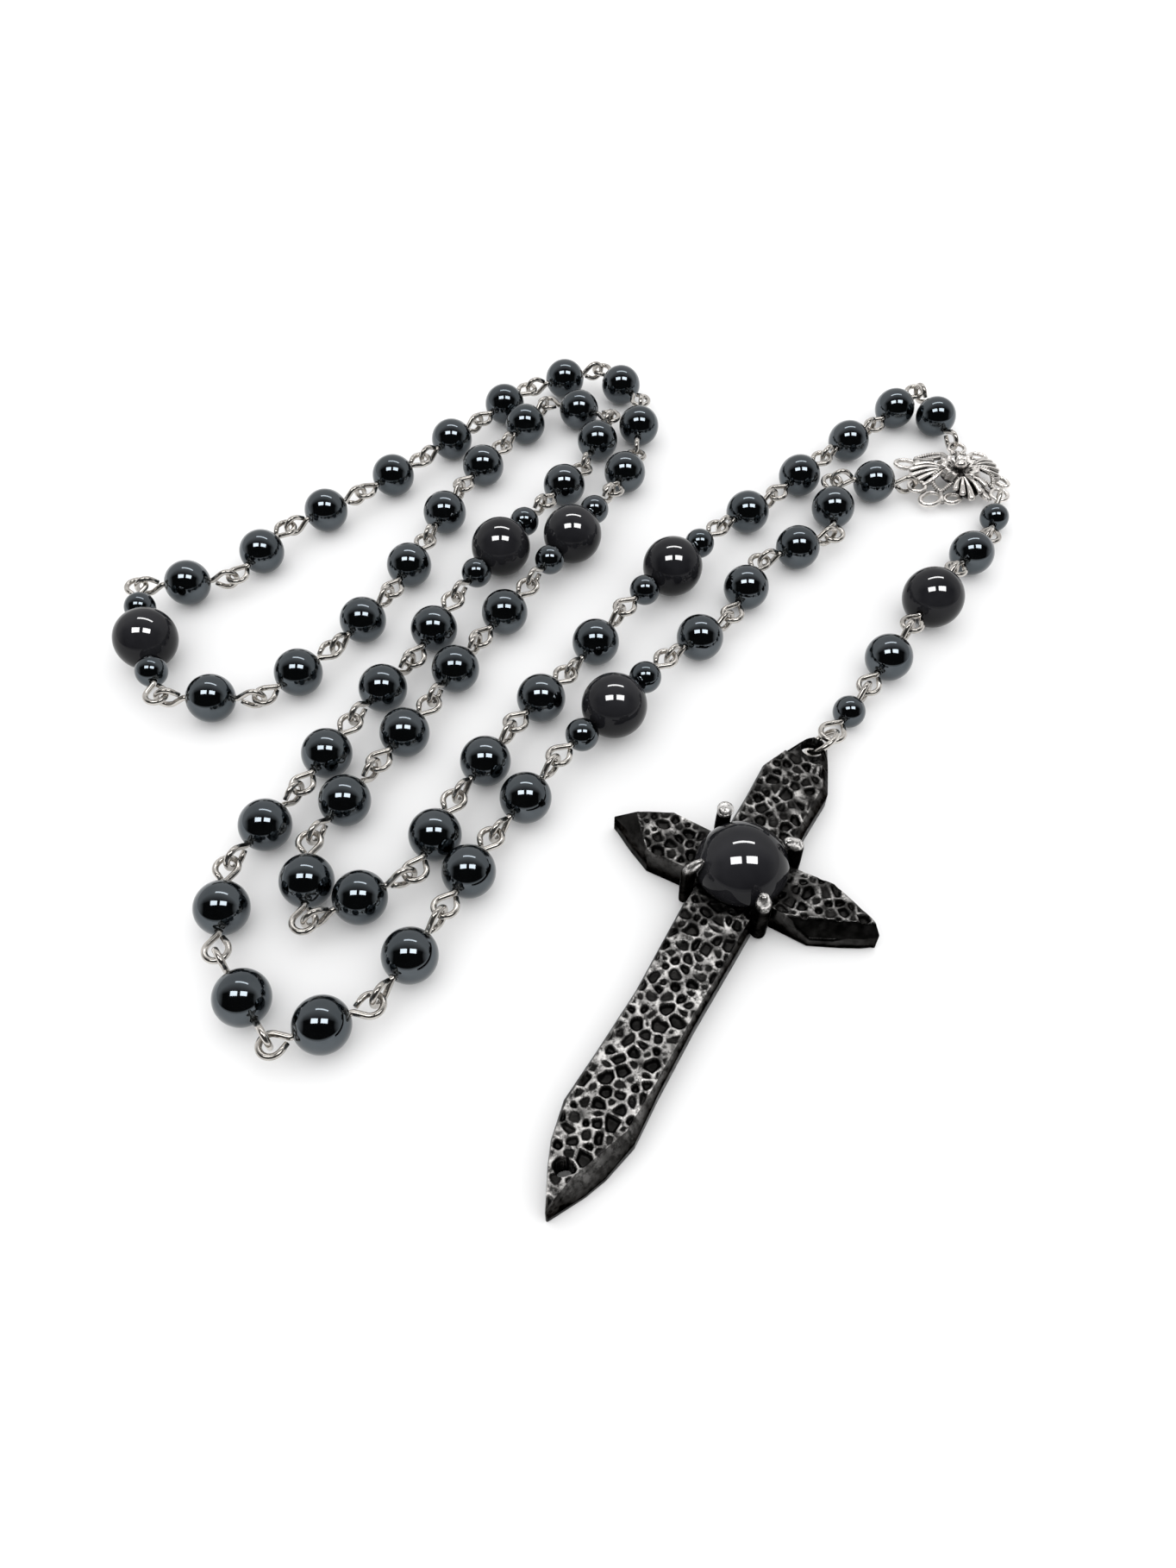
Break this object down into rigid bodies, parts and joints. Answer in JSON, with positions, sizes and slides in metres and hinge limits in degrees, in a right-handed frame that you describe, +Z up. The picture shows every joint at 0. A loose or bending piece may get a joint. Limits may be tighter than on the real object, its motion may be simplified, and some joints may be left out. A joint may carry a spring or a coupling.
{
  "type": "rosary",
  "caption": "Bead rosary laid folded on a table: wire-linked round stone beads, a stamped three-way centrepiece and a pitted sword-shaped cross set with a round cabochon.",
  "frame": {"origin": "middle of the laid-out rosary's footprint, on the table", "axes": "+X to the right and +Y to the far side as the rosary is laid out, +Z up from the table"},
  "size_m": [0.1249, 0.1343, 0.0093],
  "materials": {
    "hematite": "polished hematite, dark blue-grey with a metallic gloss",
    "onyx": "polished black onyx",
    "wire": "bright rhodium-toned wire",
    "antique_silver": "antique silver stamping with dark recesses",
    "oxidised_metal": "blackened cast metal with worn bright ridges"
  },
  "bodies": {
    "laid_strands": {"right_pins": "wire", "near_pins": "wire", "far_pins": "wire", "aves_a_3_5": "hematite", "aves_a_6_15": "hematite", "aves_a_16_19": "hematite", "aves_b_3_5": "hematite", "aves_b_6_15": "hematite", "aves_b_16_19": "hematite", "pater_1_onyx": "onyx", "pater_1_smalls": "hematite", "pater_2_onyx": "onyx", "pater_2_smalls": "hematite", "pater_4_onyx": "onyx", "pater_4_smalls": "hematite", "pater_5_onyx": "onyx", "pater_5_smalls": "hematite"},
    "rung_20": {"pins_20": "wire"},
    "ave_a20": {"ave_a20": "hematite"},
    "ave_b20": {"ave_b20": "hematite"},
    "rung_21": {"pins_21": "wire"},
    "ave_a21": {"ave_a21": "hematite"},
    "ave_b21": {"ave_b21": "hematite"},
    "rung_22": {"pins_22": "wire"},
    "ave_a22": {"ave_a22": "hematite"},
    "ave_b22": {"ave_b22": "hematite"},
    "rung_23": {"pins_23": "wire"},
    "ave_a23": {"ave_a23": "hematite"},
    "ave_b23": {"ave_b23": "hematite"},
    "rung_24": {"pins_24": "wire"},
    "ave_a24": {"ave_a24": "hematite"},
    "ave_b24": {"ave_b24": "hematite"},
    "rung_25": {"pins_25": "wire"},
    "ave_a25": {"ave_a25": "hematite"},
    "ave_b25": {"ave_b25": "hematite"},
    "pater_3": {"pater_3_pin": "wire"},
    "pater_3_onyx": {"pater_3_onyx": "onyx"},
    "pater_3_small_a": {"pater_3_small_a": "hematite"},
    "pater_3_small_b": {"pater_3_small_b": "hematite"},
    "rung_2": {"pins_2": "wire"},
    "ave_a2": {"ave_a2": "hematite"},
    "ave_b2": {"ave_b2": "hematite"},
    "rung_1": {"pins_1": "wire"},
    "ave_a1": {"ave_a1": "hematite"},
    "ave_b1": {"ave_b1": "hematite"},
    "centrepiece": {"centrepiece": "antique_silver"},
    "tail_1": {"tail_pin_1": "wire"},
    "tail_small_1": {"tail_small_1": "hematite"},
    "tail_2": {"tail_pin_2": "wire"},
    "tail_ave_2": {"tail_ave_2": "hematite"},
    "tail_3": {"tail_pin_3": "wire"},
    "tail_onyx_3": {"tail_onyx_3": "onyx"},
    "tail_4": {"tail_pin_4": "wire"},
    "tail_ave_4": {"tail_ave_4": "hematite"},
    "tail_5": {"tail_pin_5": "wire"},
    "tail_small_5": {"tail_small_5": "hematite"},
    "bail": {"bail": "wire"},
    "cross": {"cross": "oxidised_metal", "setting": "oxidised_metal", "cabochon": "onyx"}
  },
  "joints": [
    {"name": "lift_20", "type": "hinge", "parent": "laid_strands", "child": "rung_20", "pos_m": [-0.01196, 0.05368, 0.003], "axis": [0.2251, 0.9743, 0], "range_deg": [0, 25]},
    {"name": "lift_21", "type": "hinge", "parent": "rung_20", "child": "rung_21", "pos_m": [-0.01929, 0.04322, 0.003], "axis": [0.0982, 0.9952, 0], "range_deg": [0, 25]},
    {"name": "lift_22", "type": "hinge", "parent": "rung_21", "child": "rung_22", "pos_m": [-0.02445, 0.034, 0.003], "axis": [-0.1021, 0.9948, 0], "range_deg": [0, 25]},
    {"name": "lift_23", "type": "hinge", "parent": "rung_22", "child": "rung_23", "pos_m": [-0.03117, 0.02345, 0.003], "axis": [-0.2975, 0.9547, 0], "range_deg": [0, 25]},
    {"name": "lift_24", "type": "hinge", "parent": "rung_23", "child": "rung_24", "pos_m": [-0.0381, 0.01547, 0.0033], "axis": [-0.3843, 0.9232, 0], "range_deg": [0, 25]},
    {"name": "lift_25", "type": "hinge", "parent": "rung_24", "child": "rung_25", "pos_m": [-0.04583, 0.0054, 0.0027], "axis": [-0.3159, 0.9488, 0], "range_deg": [0, 25]},
    {"name": "swing_pater_3", "type": "hinge", "parent": "rung_25", "child": "pater_3", "pos_m": [-0.05771, 0.00402, 0.004], "axis": [0.342, -0.9397, 0], "range_deg": [-30, 8]},
    {"name": "lift_2", "type": "hinge", "parent": "laid_strands", "child": "rung_2", "pos_m": [0.03733, 0.03765, 0.0025], "axis": [-0.3219, -0.9468, 0], "range_deg": [0, 10]},
    {"name": "lift_1", "type": "hinge", "parent": "rung_2", "child": "rung_1", "pos_m": [0.04241, 0.04853, 0.0035], "axis": [-0.6028, -0.7979, 0], "range_deg": [0, 7]},
    {"name": "lift_centrepiece", "type": "hinge", "parent": "rung_1", "child": "centrepiece", "pos_m": [0.04962, 0.04277, 0.0017], "axis": [-0.6285, -0.7778, 0], "range_deg": [0, 20]},
    {"name": "swing_tail_1", "type": "hinge", "parent": "centrepiece", "child": "tail_1", "pos_m": [0.05839, 0.0352, 0.0021], "axis": [0, 0, 1], "range_deg": [0, 30]},
    {"name": "lift_tail_2", "type": "hinge", "parent": "tail_1", "child": "tail_2", "pos_m": [0.05469, 0.02503, 0.00195], "axis": [-0.788, 0.6157, 0], "range_deg": [0, 30]},
    {"name": "swing_tail_3", "type": "hinge", "parent": "tail_2", "child": "tail_3", "pos_m": [0.04829, 0.0176, 0.004], "axis": [0, 0, 1], "range_deg": [0, 30]},
    {"name": "lift_tail_4", "type": "hinge", "parent": "tail_3", "child": "tail_4", "pos_m": [0.03958, 0.00561, 0.004], "axis": [-0.809, 0.5878, 0], "range_deg": [0, 30]},
    {"name": "swing_tail_5", "type": "hinge", "parent": "tail_4", "child": "tail_5", "pos_m": [0.03386, -0.00226, 0.00185], "axis": [0, 0, 1], "range_deg": [0, 30]},
    {"name": "lift_bail", "type": "hinge", "parent": "tail_5", "child": "bail", "pos_m": [0.02811, -0.01014, 0.00225], "axis": [-0.7431, 0.6691, 0], "range_deg": [0, 30]},
    {"name": "lift_cross", "type": "hinge", "parent": "bail", "child": "cross", "pos_m": [0.02537, -0.01319, 0.002], "axis": [-0.8704, 0.4924, 0], "range_deg": [0, 8]},
    {"name": "spin_ave_a20", "type": "hinge", "parent": "rung_20", "child": "ave_a20", "pos_m": [-0.01437, 0.05616, 0.003], "axis": [-0.6428, -0.766, 0], "continuous": true},
    {"name": "spin_ave_b20", "type": "hinge", "parent": "rung_20", "child": "ave_b20", "pos_m": [-0.01687, 0.04073, 0.003], "axis": [-0.5, -0.866, 0], "continuous": true},
    {"name": "spin_ave_a21", "type": "hinge", "parent": "rung_21", "child": "ave_a21", "pos_m": [-0.02196, 0.04715, 0.003], "axis": [-0.6428, -0.766, 0], "continuous": true},
    {"name": "spin_ave_b21", "type": "hinge", "parent": "rung_21", "child": "ave_b21", "pos_m": [-0.02172, 0.03007, 0.003], "axis": [-0.342, -0.9397, 0], "continuous": true},
    {"name": "spin_ave_a22", "type": "hinge", "parent": "rung_22", "child": "ave_a22", "pos_m": [-0.0299, 0.03845, 0.003], "axis": [-0.7071, -0.7071, 0], "continuous": true},
    {"name": "spin_ave_b22", "type": "hinge", "parent": "rung_22", "child": "ave_b22", "pos_m": [-0.02572, 0.01901, 0.003], "axis": [-0.342, -0.9397, 0], "continuous": true},
    {"name": "spin_ave_a23", "type": "hinge", "parent": "rung_23", "child": "ave_a23", "pos_m": [-0.03863, 0.03054, 0.003], "axis": [-0.766, -0.6428, 0], "continuous": true},
    {"name": "spin_ave_b23", "type": "hinge", "parent": "rung_23", "child": "ave_b23", "pos_m": [-0.03073, 0.00842, 0.003], "axis": [-0.5, -0.866, 0], "continuous": true},
    {"name": "spin_ave_a24", "type": "hinge", "parent": "rung_24", "child": "ave_a24", "pos_m": [-0.04624, 0.02178, 0.003], "axis": [-0.4992, -0.8646, -0.0581], "continuous": true},
    {"name": "spin_ave_b24", "type": "hinge", "parent": "rung_24", "child": "ave_b24", "pos_m": [-0.03769, -0.00092, 0.003], "axis": [-0.7059, -0.7059, -0.0581], "continuous": true},
    {"name": "spin_ave_a25", "type": "hinge", "parent": "rung_25", "child": "ave_a25", "pos_m": [-0.0551, 0.0155, 0.003], "axis": [-0.9594, -0.2571, 0.1163], "continuous": true},
    {"name": "spin_ave_b25", "type": "hinge", "parent": "rung_25", "child": "ave_b25", "pos_m": [-0.0478, -0.00526, 0.003], "axis": [-0.9894, -0.0866, 0.1163], "continuous": true},
    {"name": "spin_pater_3_onyx", "type": "hinge", "parent": "pater_3", "child": "pater_3_onyx", "pos_m": [-0.05771, 0.00402, 0.004], "axis": [0.342, -0.9397, 0], "continuous": true},
    {"name": "spin_pater_3_small_a", "type": "hinge", "parent": "pater_3", "child": "pater_3_small_a", "pos_m": [-0.05977, 0.0097, 0.004], "axis": [0.342, -0.9397, 0], "continuous": true},
    {"name": "spin_pater_3_small_b", "type": "hinge", "parent": "pater_3", "child": "pater_3_small_b", "pos_m": [-0.05564, -0.00167, 0.004], "axis": [0.342, -0.9397, 0], "continuous": true},
    {"name": "spin_ave_a2", "type": "hinge", "parent": "rung_2", "child": "ave_a2", "pos_m": [0.04623, 0.05505, 0.003], "axis": [-0.7038, -0.7038, -0.0969], "continuous": true},
    {"name": "spin_ave_b2", "type": "hinge", "parent": "rung_2", "child": "ave_b2", "pos_m": [0.03351, 0.03112, 0.003], "axis": [-0.0867, -0.9915, -0.0969], "continuous": true},
    {"name": "spin_ave_a1", "type": "hinge", "parent": "rung_1", "child": "ave_a1", "pos_m": [0.0522, 0.05287, 0.003], "axis": [-0.3368, 0.9253, 0.1744], "continuous": true},
    {"name": "spin_ave_b1", "type": "hinge", "parent": "rung_1", "child": "ave_b1", "pos_m": [0.04025, 0.03699, 0.003], "axis": [-0.9809, -0.0858, 0.1744], "continuous": true},
    {"name": "spin_tail_small_1", "type": "hinge", "parent": "tail_1", "child": "tail_small_1", "pos_m": [0.05654, 0.03012, 0.00202], "axis": [-0.342, -0.9395, -0.018], "continuous": true},
    {"name": "spin_tail_ave_2", "type": "hinge", "parent": "tail_2", "child": "tail_ave_2", "pos_m": [0.05129, 0.02143, 0.003], "axis": [-0.61, -0.7807, 0.1357], "continuous": true},
    {"name": "spin_tail_onyx_3", "type": "hinge", "parent": "tail_3", "child": "tail_onyx_3", "pos_m": [0.04394, 0.0116, 0.004], "axis": [-0.5878, -0.809, 0], "continuous": true},
    {"name": "spin_tail_ave_4", "type": "hinge", "parent": "tail_4", "child": "tail_ave_4", "pos_m": [0.03672, 0.00168, 0.003], "axis": [-0.5823, -0.8015, -0.1357], "continuous": true},
    {"name": "spin_tail_small_5", "type": "hinge", "parent": "tail_5", "child": "tail_small_5", "pos_m": [0.03069, -0.00663, 0.00205], "axis": [-0.5871, -0.8081, 0.0481], "continuous": true}
  ]
}
